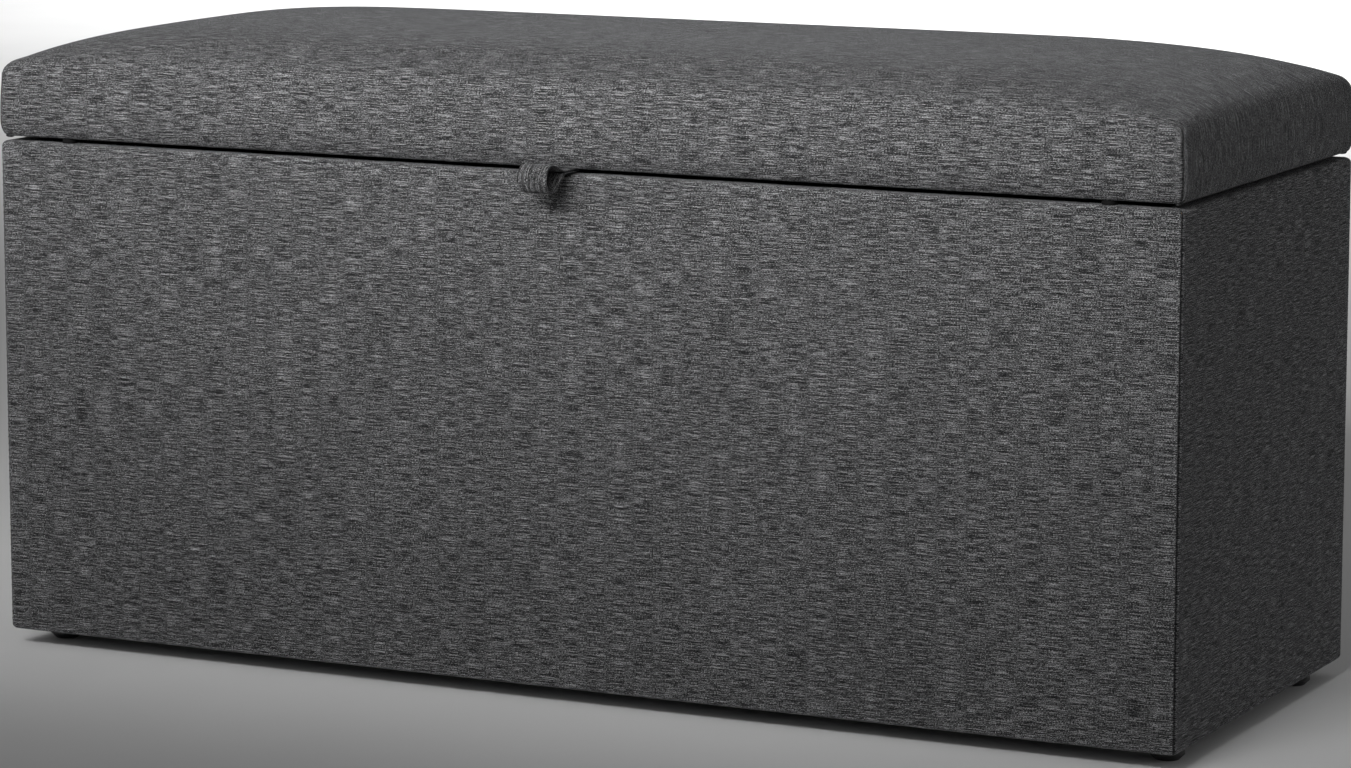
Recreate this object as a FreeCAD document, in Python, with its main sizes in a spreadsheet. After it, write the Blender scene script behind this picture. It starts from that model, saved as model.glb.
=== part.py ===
"""Storage bench: an upholstered box on four glides with a padded lid, two butt hinges, two gas
struts and a fabric pull tab.

Millimetres and degrees. +Z is up, the front faces -Y and the length runs along X. The origin is on
the floor, at the centre of the footprint, pull tab and hinge knuckles included.
"""
import FreeCAD, Part
import math
import os
import re
import Sketcher

# ---- driving dimensions -------------------------------------------------------------------------
SIZES = {
    # the case, measured over its cover
    "case_length": 1000.0,
    "case_depth": 370.0,
    "case_height": 396.0,
    "board": 15.0,
    "cover": 2.5,
    "hem_width": 32.0,
    "turn_down": 25.0,
    "batten": 20.0,
    "bottom_board": 9.0,
    "lining": 1.5,
    "floor_sheet": 2.0,
    "dust_sheet": 0.8,
    "dust_inset": 15.0,
    "fit_gap": 0.5,
    "drill_gap": 0.05,
    # glides
    "glide_height": 12.7,
    "glide_radius": 13.0,
    "glide_edge": 4.0,
    "glide_end_inset": 23.6,
    "glide_side_inset": 47.0,
    "glide_recess_radius": 5.0,
    "glide_recess_depth": 6.0,
    # lid, measured over its cover
    "lid_gap": 4.0,
    "lid_height": 88.5,
    "lid_side": 45.0,
    "lid_board": 15.0,
    "wadding": 8.0,
    "shoulder_radius": 30.0,
    "lid_corner": 5.0,
    "foam_corner": 2.0,
    "end_fall": 170.0,
    "lid_lining": 0.8,
    "lid_lining_inset": 15.0,
    "hinge_margin": 30.0,
    # butt hinges
    "hinge_length": 60.0,
    "hinge_end_inset": 200.0,
    "leaf": 1.5,
    "leaf_reach": 25.0,
    "knuckle_radius": 3.2,
    "knuckle_gap": 0.3,
    "hinge_stand_off": 0.5,
    "pin_radius": 1.5,
    "pin_fit": 0.05,
    "pin_head": 2.6,
    "pin_head_height": 1.5,
    "hinge_screw_pitch": 20.0,
    "hinge_screw_inset": 10.0,
    # gas struts
    "strut_arm": 200.0,
    "strut_angle": 70.0,
    "strut_drop": 15.0,
    "strut_from_wall": 15.0,
    "tube_radius": 7.5,
    "tube_wall": 1.2,
    "tube_start": 14.0,
    "tube_base": 4.0,
    "tube_clear": 34.0,
    "gland": 8.0,
    "gland_fit": 0.25,
    "rod_radius": 3.0,
    "rod_end_clear": 20.4,
    "piston": 8.0,
    "piston_fit": 0.3,
    "ball_radius": 5.0,
    "ball_fit": 0.08,
    "stud_radius": 2.8,
    "socket_radius": 7.0,
    "socket_width": 11.0,
    "socket_neck": 4.5,
    "socket_mouth": 3.8,
    "plate": 2.0,
    "plate_length": 44.0,
    "plate_width": 22.0,
    "plate_screw_pitch": 30.0,
    "lid_plate": 27.0,
    "bracket_clear": 3.0,
    # screws
    "screw_radius": 1.75,
    "screw_head": 3.3,
    "screw_head_depth": 1.5,
    "screw_tip": 3.0,
    "hinge_screw": 14.0,
    "plate_screw": 12.0,
    "panel_screw": 40.0,
    "batten_screw": 25.0,
    "glide_screw": 26.0,
    "panel_screw_rise": 60.0,
    "batten_screw_inset": 90.0,
    # pull tab
    "tab_width": 25.0,
    "tab_cloth": 1.7,
    "tab_loop": 10.5,
    "tab_reach": 30.0,
    "tab_sag": 3.2,
    "tab_root": 2.0,
    "tab_tail": 14.0,
    # lid bumpers
    "bumper_radius": 6.0,
    "bumper_peg": 2.5,
    "bumper_peg_length": 10.0,
    "bumper_clear": 0.1,
    "bumper_end_inset": 60.0,
}

# ---- places worked out from them ----------------------------------------------------------------
PLACES = {
    "tab_out": "tab_reach + tab_loop + tab_cloth/2",
    "knuckle_out": "hinge_stand_off + 2*knuckle_radius",
    "middle": "(tab_out - knuckle_out)/2",
    "front": "middle - case_depth/2",
    "back": "middle + case_depth/2",
    "end": "case_length/2",
    "board_front": "front + cover",
    "board_back": "back - cover",
    "board_end": "end - cover",
    "well_front": "board_front + board",
    "well_back": "board_back - board",
    "well_end": "board_end - board",
    "case_foot": "glide_height + dust_sheet",
    "board_foot": "case_foot + cover",
    "rim": "case_foot + case_height",
    "board_rim": "rim - cover",
    "bottom_low": "board_foot + batten",
    "bottom_high": "bottom_low + bottom_board",
    "lid_low": "rim + lid_gap",
    "lid_board_low": "lid_low + cover",
    "pad_low": "lid_board_low + lid_board",
    "crown": "lid_low + lid_height",
    "axis_y": "back + hinge_stand_off + knuckle_radius",
    "axis_z": "rim + lid_gap/2",
    "lid_skin_low": "lid_low - lid_lining",
    "lid_skin_front": "board_front + board/2 + bumper_radius + 2*fit_gap",
    # a gas strut joins two points at the same distance from the lid's hinge axis
    "arm_tilt": "asin(strut_drop/strut_arm)",
    "case_tilt": "arm_tilt + strut_angle*1deg",
    "strut_tilt": "arm_tilt + strut_angle*0.5deg",
    "strut_x": "well_end - lining - strut_from_wall",
    "case_ball_y": "axis_y - strut_arm*cos(case_tilt)",
    "case_ball_z": "axis_z - strut_arm*sin(case_tilt)",
    "lid_ball_y": "axis_y - strut_arm*cos(arm_tilt)",
    "lid_ball_z": "axis_z - strut_drop",
    "strut_shut": "2*strut_arm*sin(strut_angle*0.5deg)",
    "tube_end": "strut_shut - tube_clear",
    "rod_length": "strut_shut - rod_end_clear",
    "glide_x": "end - glide_end_inset",
    "leaf_x": "end - hinge_end_inset",
    "hinge_screw_y": "back - hinge_screw_inset",
    "tab_thick": "2*tab_cloth",
    "tab_axis_y": "front - tab_root",
    "tab_axis_z": "lid_low - tab_thick/2",
    "plate_face": "well_end - lining - plate",
    "leg_face": "well_end - cover - bracket_clear",
}

KNUCKLES = 5
SIDES = (("left", -1), ("right", 1))
ENDS = (("front", -1), ("back", 1))
TURNS = {
    "x": FreeCAD.Rotation(FreeCAD.Vector(0, 1, 0), 90),
    "-x": FreeCAD.Rotation(FreeCAD.Vector(0, 1, 0), -90),
    "y": FreeCAD.Rotation(FreeCAD.Vector(1, 0, 0), -90),
    "-y": FreeCAD.Rotation(FreeCAD.Vector(1, 0, 0), 90),
    "z": FreeCAD.Rotation(),
    "-z": FreeCAD.Rotation(FreeCAD.Vector(1, 0, 0), 180),
    "seam_y": FreeCAD.Rotation(FreeCAD.Vector(0, 0, 1), 90),
}

doc = FreeCAD.newDocument("StorageBench")
sheet = doc.addObject("Spreadsheet::Sheet", "Sizes")
for row, (alias, size) in enumerate(SIZES.items(), start=1):
    sheet.set(f"A{row}", alias)
    sheet.set(f"B{row}", str(size))
    sheet.setAlias(f"B{row}", alias)
doc.recompute()

nodes = {}


# ---- formulas -----------------------------------------------------------------------------------
def bind(formula):
    """Write a formula so that each size in it reads its cell in the sheet."""
    def swap(word):
        name = word.group(0)
        if name in PLACES:
            return f"({bind(PLACES[name])})"
        return f"Sizes.{name}" if name in SIZES else name
    return re.sub(r"[A-Za-z_]\w*", swap, str(formula))


def number(formula):
    """The value that a formula has now."""
    found = sheet.evalExpression(bind(formula))
    return float(getattr(found, "Value", found))


def move(piece, at, along="z"):
    """Put a piece's own origin at a point, with its own Z axis along a row axis."""
    piece.Placement = FreeCAD.Placement(FreeCAD.Vector(), TURNS[along])
    for axis, formula in zip("xyz", at):
        piece.setExpression(f"Placement.Base.{axis}", bind(formula))
    return piece


def tilt(piece, at):
    """Put a strut piece at a ball's centre and lean it along the strut."""
    turned = FreeCAD.Rotation(FreeCAD.Vector(1, 0, 0), number("strut_tilt"))
    piece.Placement = FreeCAD.Placement(FreeCAD.Vector(), turned)
    piece.setExpression("Placement.Rotation.Angle", bind("strut_tilt"))
    for axis, formula in zip("xyz", at):
        piece.setExpression(f"Placement.Base.{axis}", bind(formula))
    return piece


def node(name, piece):
    """Name a finished piece; its name is its file's name."""
    piece.Label = name
    nodes[name] = piece
    return piece


# ---- solids -------------------------------------------------------------------------------------
def box(name, x, y, z):
    """A board between a low and a high formula on each axis."""
    piece = doc.addObject("Part::Box", name)
    for side, axis, (low, high) in zip(("Length", "Width", "Height"), "xyz", (x, y, z)):
        piece.setExpression(side, bind(f"({high}) - ({low})"))
        piece.setExpression(f"Placement.Base.{axis}", bind(low))
    return piece


def span(sign, near, far):
    """A low and a high formula from two distances on one side of the centre plane."""
    return (near, far) if sign > 0 else (f"-({far})", f"-({near})")


def both(half):
    """A low and a high formula about the centre plane."""
    return (f"-({half})", half)


def rod(name, at, along, radius, length):
    piece = doc.addObject("Part::Cylinder", name)
    piece.setExpression("Radius", bind(radius))
    piece.setExpression("Height", bind(length))
    return move(piece, at, along)


def cone(name, at, along, first, last, length):
    piece = doc.addObject("Part::Cone", name)
    piece.setExpression("Radius1", bind(first))
    piece.setExpression("Radius2", bind(last))
    piece.setExpression("Height", bind(length))
    return move(piece, at, along)


def ball(name, at, radius):
    """A sphere whose seam faces +Y, clear of studs along X and necks along Z."""
    piece = doc.addObject("Part::Sphere", name)
    piece.setExpression("Radius", bind(radius))
    return move(piece, at, "seam_y")


def fuse(name, pieces):
    piece = doc.addObject("Part::MultiFuse", name)
    piece.Shapes = pieces
    piece.Refine = True
    return piece


def cut(name, base, tools):
    piece = doc.addObject("Part::Cut", name)
    piece.Base = base
    piece.Tool = tools[0] if len(tools) == 1 else group(f"{name}_tools", tools)
    return piece


def common(name, pieces):
    piece = doc.addObject("Part::MultiCommon", name)
    piece.Shapes = pieces
    return piece


def group(name, pieces):
    piece = doc.addObject("Part::Compound", name)
    piece.Links = pieces
    return piece


# ---- sketched solids ----------------------------------------------------------------------------
def sketched(name, plane):
    """A body with one empty sketch on one of its own origin planes."""
    body = doc.addObject("PartDesign::Body", name)
    sketch = body.newObject("Sketcher::SketchObject", f"{name}_sketch")
    support = [p for p in body.Origin.OriginFeatures if p.Role == plane][0]
    sketch.AttachmentSupport = (support, [""])
    sketch.MapMode = "FlatFace"
    return body, sketch


def pin_point(sketch, line, end, across, up):
    """Hold one end of a line at a place given by two formulas."""
    for kind, formula in (("DistanceX", across), ("DistanceY", up)):
        held = sketch.addConstraint(Sketcher.Constraint(kind, -1, 1, line, end, number(formula)))
        sketch.setExpression(f"Constraints[{held}]", bind(formula))


def outline(sketch, corners):
    """A closed outline of straight lines through corners given by formulas."""
    places = [FreeCAD.Vector(number(across), number(up), 0) for across, up in corners]
    for here, there in zip(places, places[1:] + places[:1]):
        sketch.addGeometry(Part.LineSegment(here, there), False)
    for line in range(len(corners)):
        after = (line + 1) % len(corners)
        sketch.addConstraint(Sketcher.Constraint("Coincident", line, 2, after, 1))
    for line, (across, up) in enumerate(corners):
        pin_point(sketch, line, 1, across, up)


def pad(body, sketch, length):
    """Thicken a sketch both ways from its plane."""
    made = body.newObject("PartDesign::Pad", f"{body.Name}_pad")
    made.Profile = sketch
    made.setExpression("Length", bind(length))
    made.Midplane = True
    body.Tip = made
    return body


def turned(name, corners):
    """A round piece about its own Z axis, from corners at a radius and a height."""
    body, sketch = sketched(name, "XZ_Plane")
    outline(sketch, corners)
    made = body.newObject("PartDesign::Revolution", f"{name}_turn")
    made.Profile = sketch
    made.ReferenceAxis = (sketch, ["V_Axis"])
    made.Angle = 360.0
    body.Tip = made
    return body


def rounded_board(name, x, y, z, radius):
    """A board with its upright edges rounded."""
    body, sketch = sketched(name, "XY_Plane")
    outline(sketch, [(x[0], y[0]), (x[1], y[0]), (x[1], y[1]), (x[0], y[1])])
    made = body.newObject("PartDesign::Pad", f"{name}_pad")
    made.Profile = sketch
    made.setExpression("Length", bind(f"({z[1]}) - ({z[0]})"))
    doc.recompute()
    upright = [f"Edge{i}" for i, edge in enumerate(made.Shape.Edges, start=1)
               if abs(edge.tangentAt(edge.FirstParameter).z) > 0.99]
    rounding = body.newObject("PartDesign::Fillet", f"{name}_rounding")
    rounding.Base = (made, upright)
    rounding.setExpression("Radius", bind(radius))
    body.Tip = rounding
    return move(body, ["0", "0", z[0]])


# ---- screws -------------------------------------------------------------------------------------
def shifted(at, along, distance):
    """A point further along a row axis."""
    moved = list(at)
    axis = "xyz".index(along[-1])
    moved[axis] = f"({at[axis]}) {'-' if along[0] == '-' else '+'} ({distance})"
    return moved


def screw(name, at, along, length, grow="0"):
    """A countersunk wood screw whose head's face is at a point; grow makes the hole for it."""
    after_head = shifted(at, along, "screw_head_depth")
    before_tip = shifted(at, along, f"{length} - screw_tip")
    head = cone(f"{name}_head", at, along, f"screw_head + {grow}", f"screw_radius + {grow}",
                "screw_head_depth")
    shank = rod(f"{name}_shank", after_head, along, f"screw_radius + {grow}",
                f"{length} - screw_tip - screw_head_depth")
    tip = cone(f"{name}_tip", before_tip, along, f"screw_radius + {grow}", f"0.4 + {grow}",
               f"screw_tip + {grow}")
    return fuse(name, [head, shank, tip])


def solid_screws(name, places, along, length):
    return [screw(f"{name}_{i}", at, along, length) for i, at in enumerate(places)]


def screw_holes(name, places, along, length):
    return [screw(f"{name}_{i}_hole", at, along, length, "drill_gap") for i, at in enumerate(places)]


def screws(name, places, along, length):
    """A set of screws as one node, and the holes that they need."""
    node(name, group(name, solid_screws(name, places, along, length)))
    return screw_holes(name, places, along, length)


# ---- the case -----------------------------------------------------------------------------------
def panel_fixings():
    """Screws through the front and back panels into the edges of the end panels."""
    holes = {}
    for face, front in ENDS:
        start = "board_front" if front < 0 else "board_back"
        along = "y" if front < 0 else "-y"
        places = []
        for _, sign in SIDES:
            for rise in ("board_foot + panel_screw_rise", "(board_foot + board_rim)/2",
                         "board_rim - panel_screw_rise"):
                places.append([f"{sign}*(board_end - board/2)", start, rise])
        holes[face] = screws(f"panel_screws_{face}", places, along, "panel_screw")
    return holes


def bumper(name, x, gap):
    """A push-in rubber button on the rim; gap makes the hole for its peg."""
    centre = [x, "board_front + board/2", "rim"]
    peg = rod(f"{name}_peg", shifted(centre, "z", "-bumper_peg_length"), "z",
              f"bumper_peg + {gap}", "bumper_peg_length")
    if gap != "0":
        return peg
    button = rod(f"{name}_button", centre, "z", "bumper_radius", "lid_gap - bumper_clear")
    return fuse(name, [peg, button])


def panels(fixings, hinge_holes, plate_holes):
    """Four boards: the end boards stand between the front and back ones."""
    height = ("board_foot", "board_rim")
    peg_holes = [bumper(f"peg_hole_{side}", f"{sign}*(end - bumper_end_inset)", "drill_gap")
                 for side, sign in SIDES]
    front = box("front_board", both("board_end"), ("board_front", "well_front"), height)
    node("front_panel", cut("front_panel", front, fixings["front"] + peg_holes))
    back = box("back_board", both("board_end"), ("well_back", "board_back"), height)
    node("back_panel", cut("back_panel", back, fixings["back"] + hinge_holes))
    for side, sign in SIDES:
        end = box(f"{side}_board", span(sign, "well_end", "board_end"),
                  ("well_front", "well_back"), height)
        holes = fixings["front"] + fixings["back"] + plate_holes[side]
        node(f"{side}_end_panel", cut(f"{side}_end_panel", end, holes))
    return peg_holes


def bottom(glide_holes):
    """Battens inside the foot of the panels, and the board that lies on them."""
    height = ("board_foot", "bottom_low")
    row = ("well_end - batten_screw_inset", "0", "-(well_end - batten_screw_inset)")
    places = [[x, f"well_{face} - {sign}*batten/2", "bottom_high"] for face, sign in ENDS for x in row]
    places += [[f"{sign}*(well_end - batten/2)", "middle", "bottom_high"] for _, sign in SIDES]
    holes = screws("bottom_screws", places, "-z", "batten_screw")
    rails = {
        "front": box("front_rail", both("well_end"), ("well_front", "well_front + batten"), height),
        "back": box("back_rail", both("well_end"), ("well_back - batten", "well_back"), height),
    }
    for side, sign in SIDES:
        rails[side] = box(f"{side}_rail", span(sign, "well_end - batten", "well_end"),
                          ("well_front + batten", "well_back - batten"), height)
    for face, rail in rails.items():
        tools = holes + (glide_holes if face in ("left", "right") else [])
        node(f"bottom_batten_{face}", cut(f"bottom_batten_{face}", rail, tools))
    board = box("bottom_sheet", both("well_end - fit_gap"),
                ("well_front + fit_gap", "well_back - fit_gap"), ("bottom_low", "bottom_high"))
    node("bottom_panel", cut("bottom_panel", board, holes))


def case_covers(peg_holes, hinge_holes, glide_holes):
    """Cloth over each face, turned in over the rim and under the foot."""
    face = ("case_foot", "rim")
    top = ("board_rim", "rim")
    inside = ("rim - turn_down", "rim")
    under = ("case_foot", "board_foot")
    for name, sign, holes in (("front", -1, peg_holes), ("back", 1, hinge_holes)):
        def depth(near, far, sign=sign):
            places = (f"middle + {sign}*(case_depth/2 - ({near}))",
                      f"middle + {sign}*(case_depth/2 - ({far}))")
            return places if sign < 0 else places[::-1]
        parts = [
            box(f"{name}_skin", both("end"), depth("0", "cover"), face),
            box(f"{name}_top", both("board_end"), depth("cover", "cover + board"), top),
            box(f"{name}_turn", both("well_end - cover"),
                depth("cover + board", "2*cover + board"), inside),
            box(f"{name}_hem", both("board_end"), depth("cover", "cover + hem_width"), under),
        ]
        node(f"{name}_cover", cut(f"{name}_cover", fuse(f"{name}_wrap", parts), holes))
    for side, sign in SIDES:
        parts = [
            box(f"{side}_skin", span(sign, "board_end", "end"), ("board_front", "board_back"), face),
            box(f"{side}_top", span(sign, "well_end", "board_end"), ("well_front", "well_back"), top),
            box(f"{side}_turn", span(sign, "well_end - cover", "well_end"),
                ("well_front", "well_back"), inside),
            box(f"{side}_hem", span(sign, "board_end - hem_width", "board_end"),
                ("board_front + hem_width", "board_back - hem_width"), under),
        ]
        wrap = fuse(f"{side}_wrap", parts)
        node(f"{side}_end_cover", cut(f"{side}_end_cover", wrap, glide_holes))


def linings(plate_holes):
    """Cloth-covered card inside the well, below the turned-in cover."""
    height = ("bottom_high + floor_sheet", "rim - turn_down")
    node("lining_front", box("lining_front", both("well_end - lining"),
                             ("well_front", "well_front + lining"), height))
    node("lining_back", box("lining_back", both("well_end - lining"),
                            ("well_back - lining", "well_back"), height))
    for side, sign in SIDES:
        sheet_of_card = box(f"{side}_card", span(sign, "well_end - lining", "well_end"),
                            ("well_front", "well_back"), height)
        node(f"lining_{side}", cut(f"lining_{side}", sheet_of_card, plate_holes[side]))
    node("floor_lining", box("floor_lining", both("well_end - fit_gap"),
                             ("well_front + fit_gap", "well_back - fit_gap"),
                             ("bottom_high", "bottom_high + floor_sheet")))


def glides():
    """Four round plastic glides, each with a screw up into an end batten."""
    places = {}
    for face, front in ENDS:
        for side, sign in SIDES:
            y = f"middle + {front}*(case_depth/2 - glide_side_inset)"
            places[f"glide_{face}_{side}"] = [f"{sign}*glide_x", y, "0"]
    heads = [shifted(at, "z", "glide_recess_depth - screw_head_depth") for at in places.values()]
    holes = screws("glide_screws", heads, "z", "glide_screw")
    hole = "screw_radius + drill_gap"
    for name, at in places.items():
        glide = turned(name, [
            (hole, "glide_recess_depth"), ("glide_recess_radius", "glide_recess_depth"),
            ("glide_recess_radius", "0"), ("glide_radius - glide_edge", "0"),
            ("glide_radius", "glide_edge"), ("glide_radius", "glide_height"),
            (hole, "glide_height"),
        ])
        node(name, move(glide, at))
    sheet_box = box("dust_sheet_box", both("end - dust_inset"),
                    ("front + dust_inset", "back - dust_inset"), ("glide_height", "case_foot"))
    node("dust_cover", cut("dust_cover", sheet_box, holes))
    return holes


# ---- hinges -------------------------------------------------------------------------------------
def hinges():
    """Butt hinges in the gap at the back, their knuckles just behind the covers."""
    holes = {}
    pieces = {"case": [], "lid": []}
    for body, low, high, start, along in (
            ("case", "rim", "rim + leaf", "rim + leaf", "-z"),
            ("lid", "lid_low - leaf", "lid_low", "lid_low - leaf", "z")):
        places = [[f"{sign}*leaf_x + {step}*hinge_screw_pitch", "hinge_screw_y", start]
                  for _, sign in SIDES for step in (-1, 0, 1)]
        holes[body] = screws(f"hinge_{body}_screws", places, along, "hinge_screw")
        for side, sign in SIDES:
            leaf_of(body, side, f"{sign}*leaf_x", (low, high), holes[body])
    for side, sign in SIDES:
        hinge_pin(side, f"{sign}*leaf_x")
    return holes


def leaf_of(body, side, centre, height, holes):
    """One leaf: a plate, with a tongue and a rolled knuckle at every second place."""
    name = f"hinge_{body}_leaf_{side}"
    first = 0 if body == "case" else 1
    step = f"hinge_length/{KNUCKLES}"
    plate_end = "axis_y - knuckle_radius - knuckle_gap"
    parts = [box(f"{name}_plate", (f"{centre} - hinge_length/2", f"{centre} + hinge_length/2"),
                 ("back - leaf_reach", plate_end), height)]
    for place in range(first, KNUCKLES, 2):
        low = f"{centre} - hinge_length/2 + {place}*{step} + {1 if place else 0}*knuckle_gap/2"
        high = (f"{centre} - hinge_length/2 + {place + 1}*{step}"
                f" - {1 if place < KNUCKLES - 1 else 0}*knuckle_gap/2")
        parts.append(box(f"{name}_tongue_{place}", (low, high), (plate_end, "axis_y"), height))
        parts.append(rod(f"{name}_roll_{place}", [low, "axis_y", "axis_z"], "x",
                         "knuckle_radius", f"({high}) - ({low})"))
    bore = rod(f"{name}_bore", [f"{centre} - hinge_length", "axis_y", "axis_z"], "x",
               "pin_radius + pin_fit", "2*hinge_length")
    node(name, cut(name, fuse(f"{name}_blank", parts), holes + [bore]))


def hinge_pin(side, centre):
    name = f"hinge_pin_{side}"
    left_end = [f"{centre} - hinge_length/2", "axis_y", "axis_z"]
    shaft = rod(f"{name}_shaft", left_end, "x", "pin_radius", "hinge_length")
    heads = [
        cone(f"{name}_head_a", left_end, "-x", "pin_head", "pin_radius", "pin_head_height"),
        cone(f"{name}_head_b", shifted(left_end, "x", "hinge_length"), "x", "pin_head",
             "pin_radius", "pin_head_height"),
    ]
    node(name, fuse(name, [shaft] + heads))


# ---- gas struts ---------------------------------------------------------------------------------
def case_plates():
    """A plate with a ball stud on the inner face of each end panel."""
    holes = {}
    made = []
    for side, sign in SIDES:
        name = f"strut_case_bracket_{side}"
        outward = "x" if sign > 0 else "-x"
        places = [[f"{sign}*plate_face", "case_ball_y", f"case_ball_z + {step}*plate_screw_pitch/2"]
                  for step in (-1, 1)]
        made += solid_screws(f"strut_case_screw_{side}", places, outward, "plate_screw")
        holes[side] = screw_holes(f"strut_case_screw_{side}", places, outward, "plate_screw")
        plate = box(f"{name}_plate", span(sign, "plate_face", "plate_face + plate"),
                    ("case_ball_y - plate_width/2", "case_ball_y + plate_width/2"),
                    ("case_ball_z - plate_length/2", "case_ball_z + plate_length/2"))
        stud = rod(f"{name}_stud", [f"{sign}*strut_x", "case_ball_y", "case_ball_z"], outward,
                   "stud_radius", "plate_face + plate - strut_x")
        head = ball(f"{name}_ball", [f"{sign}*strut_x", "case_ball_y", "case_ball_z"], "ball_radius")
        blank = fuse(f"{name}_blank", [plate, stud, head])
        node(name, cut(name, blank, holes[side]))
    node("strut_case_screws", group("strut_case_screws", made))
    return holes


def lid_plates():
    """An angle plate with a ball stud under each end of the lid."""
    made = []
    all_holes = []
    for side, sign in SIDES:
        name = f"strut_lid_bracket_{side}"
        outward = "x" if sign > 0 else "-x"
        places = [[f"{sign}*(leg_face - lid_plate/2)", f"lid_ball_y + {step}*plate_screw_pitch/2",
                   "lid_skin_low - plate"] for step in (-1, 1)]
        made += solid_screws(f"strut_lid_screw_{side}", places, "z", "plate_screw")
        holes = screw_holes(f"strut_lid_screw_{side}", places, "z", "plate_screw")
        along = ("lid_ball_y - plate_length/2", "lid_ball_y + plate_length/2")
        flat = box(f"{name}_flat", span(sign, "leg_face - lid_plate", "leg_face"), along,
                   ("lid_skin_low - plate", "lid_skin_low"))
        leg = box(f"{name}_leg", span(sign, "leg_face - plate", "leg_face"),
                  ("lid_ball_y - plate_width/2", "lid_ball_y + plate_width/2"),
                  ("lid_ball_z - plate_width/2", "lid_skin_low"))
        centre = [f"{sign}*strut_x", "lid_ball_y", "lid_ball_z"]
        stud = rod(f"{name}_stud", centre, outward, "stud_radius", "leg_face - strut_x")
        head = ball(f"{name}_ball", centre, "ball_radius")
        node(name, cut(name, fuse(f"{name}_blank", [flat, leg, stud, head]), holes))
        all_holes += holes
    node("strut_lid_screws", group("strut_lid_screws", made))
    return all_holes


def socket(name, sign, up):
    """A strut's end: a cup round a ball, open towards the stud, and a neck into the strut."""
    outward = "x" if sign > 0 else "-x"
    start = [f"{-sign}*socket_width/2", "0", "0"]
    cup = rod(f"{name}_cup", start, outward, "socket_radius", "socket_width")
    neck = rod(f"{name}_neck", ["0", "0", "0"], "z" if up else "-z", "socket_neck", "tube_start")
    seat = ball(f"{name}_seat", ["0", "0", "0"], "ball_radius + ball_fit")
    mouth = rod(f"{name}_mouth", ["0", "0", "0"], outward, "socket_mouth", "socket_width")
    return cut(name, fuse(f"{name}_blank", [cup, neck]), [seat, mouth])


def struts():
    """A tube on the case and a rod on the lid, in line with each other at every opening."""
    bore = "tube_radius - tube_wall"
    for side, sign in SIDES:
        case_ball = [f"{sign}*strut_x", "case_ball_y", "case_ball_z"]
        lid_ball = [f"{sign}*strut_x", "lid_ball_y", "lid_ball_z"]
        tube = turned(f"strut_tube_{side}", [
            ("0", "tube_start"), ("tube_radius", "tube_start"), ("tube_radius", "tube_end"),
            (bore, "tube_end"), (bore, "tube_start + tube_base"), ("0", "tube_start + tube_base"),
        ])
        node(f"strut_tube_{side}", tilt(tube, case_ball))
        gland = turned(f"strut_gland_{side}", [
            ("rod_radius + gland_fit", "tube_end - gland"), (bore, "tube_end - gland"),
            (bore, "tube_end"), ("rod_radius + gland_fit", "tube_end"),
        ])
        node(f"strut_gland_{side}", tilt(gland, case_ball))
        rod_piece = turned(f"strut_rod_{side}", [
            ("0", "-tube_start"), ("rod_radius", "-tube_start"),
            ("rod_radius", "piston - rod_length"), (f"{bore} - piston_fit", "piston - rod_length"),
            (f"{bore} - piston_fit", "-rod_length"), ("0", "-rod_length"),
        ])
        node(f"strut_rod_{side}", tilt(rod_piece, lid_ball))
        node(f"strut_case_socket_{side}",
             tilt(socket(f"strut_case_socket_{side}", sign, True), case_ball))
        node(f"strut_lid_socket_{side}",
             tilt(socket(f"strut_lid_socket_{side}", sign, False), lid_ball))


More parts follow.
